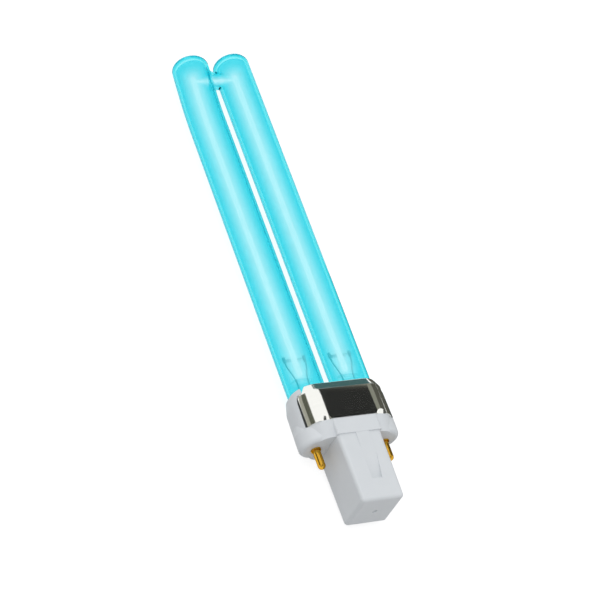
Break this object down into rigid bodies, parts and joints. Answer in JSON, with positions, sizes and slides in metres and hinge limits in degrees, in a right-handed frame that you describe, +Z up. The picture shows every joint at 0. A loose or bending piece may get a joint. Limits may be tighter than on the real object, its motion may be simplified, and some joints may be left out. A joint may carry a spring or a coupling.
{
  "type": "h-shaped uvc tube",
  "caption": "H-shaped germicidal lamp: parallel glass legs bridged near their tips, seated in a moulded cap with a metal sleeve, hollow contact pins and a square starter post.",
  "frame": {"origin": "middle of the cap's seat face, where the starter post leaves the cap", "axes": "+Y along the legs towards their tips, +X from the left leg to the right one, +Z up out of the cap's broad front, with the lamp lying on its back"},
  "size_m": [0.0328, 0.1671, 0.0172],
  "materials": {
    "tube_glass": "clear, lit pale cyan by the discharge inside",
    "stem_glass": "clear",
    "lead_wire": "drawn wire",
    "tungsten": "dark drawn wire",
    "cement": "matt, cast",
    "cap_plastic": "white, satin moulded",
    "sleeve_metal": "bright rolled and pressed",
    "pin_brass": "turned and polished",
    "starter_glass": "clear",
    "starter_metal": "rolled strip and drawn wire",
    "capacitor_coat": "dipped coat",
    "ferrule_metal": "tinned"
  },
  "bodies": {
    "root": {"glass_tube": "tube_glass", "left_stem": "stem_glass", "right_stem": "stem_glass", "left_outer_lead": "lead_wire", "right_outer_lead": "lead_wire", "left_inner_lead": "lead_wire", "right_inner_lead": "lead_wire", "left_filament": "tungsten", "right_filament": "tungsten", "tube_cement": "cement", "base_housing": "cap_plastic", "metal_sleeve": "sleeve_metal", "left_contact_pin": "pin_brass", "right_contact_pin": "pin_brass", "starter_bulb": "starter_glass", "starter_bimetal": "starter_metal", "starter_electrode": "starter_metal", "capacitor": "capacitor_coat", "left_capacitor_lead": "lead_wire", "right_capacitor_lead": "lead_wire", "left_splice_ferrule": "ferrule_metal", "right_splice_ferrule": "ferrule_metal"}
  },
  "joints": []
}
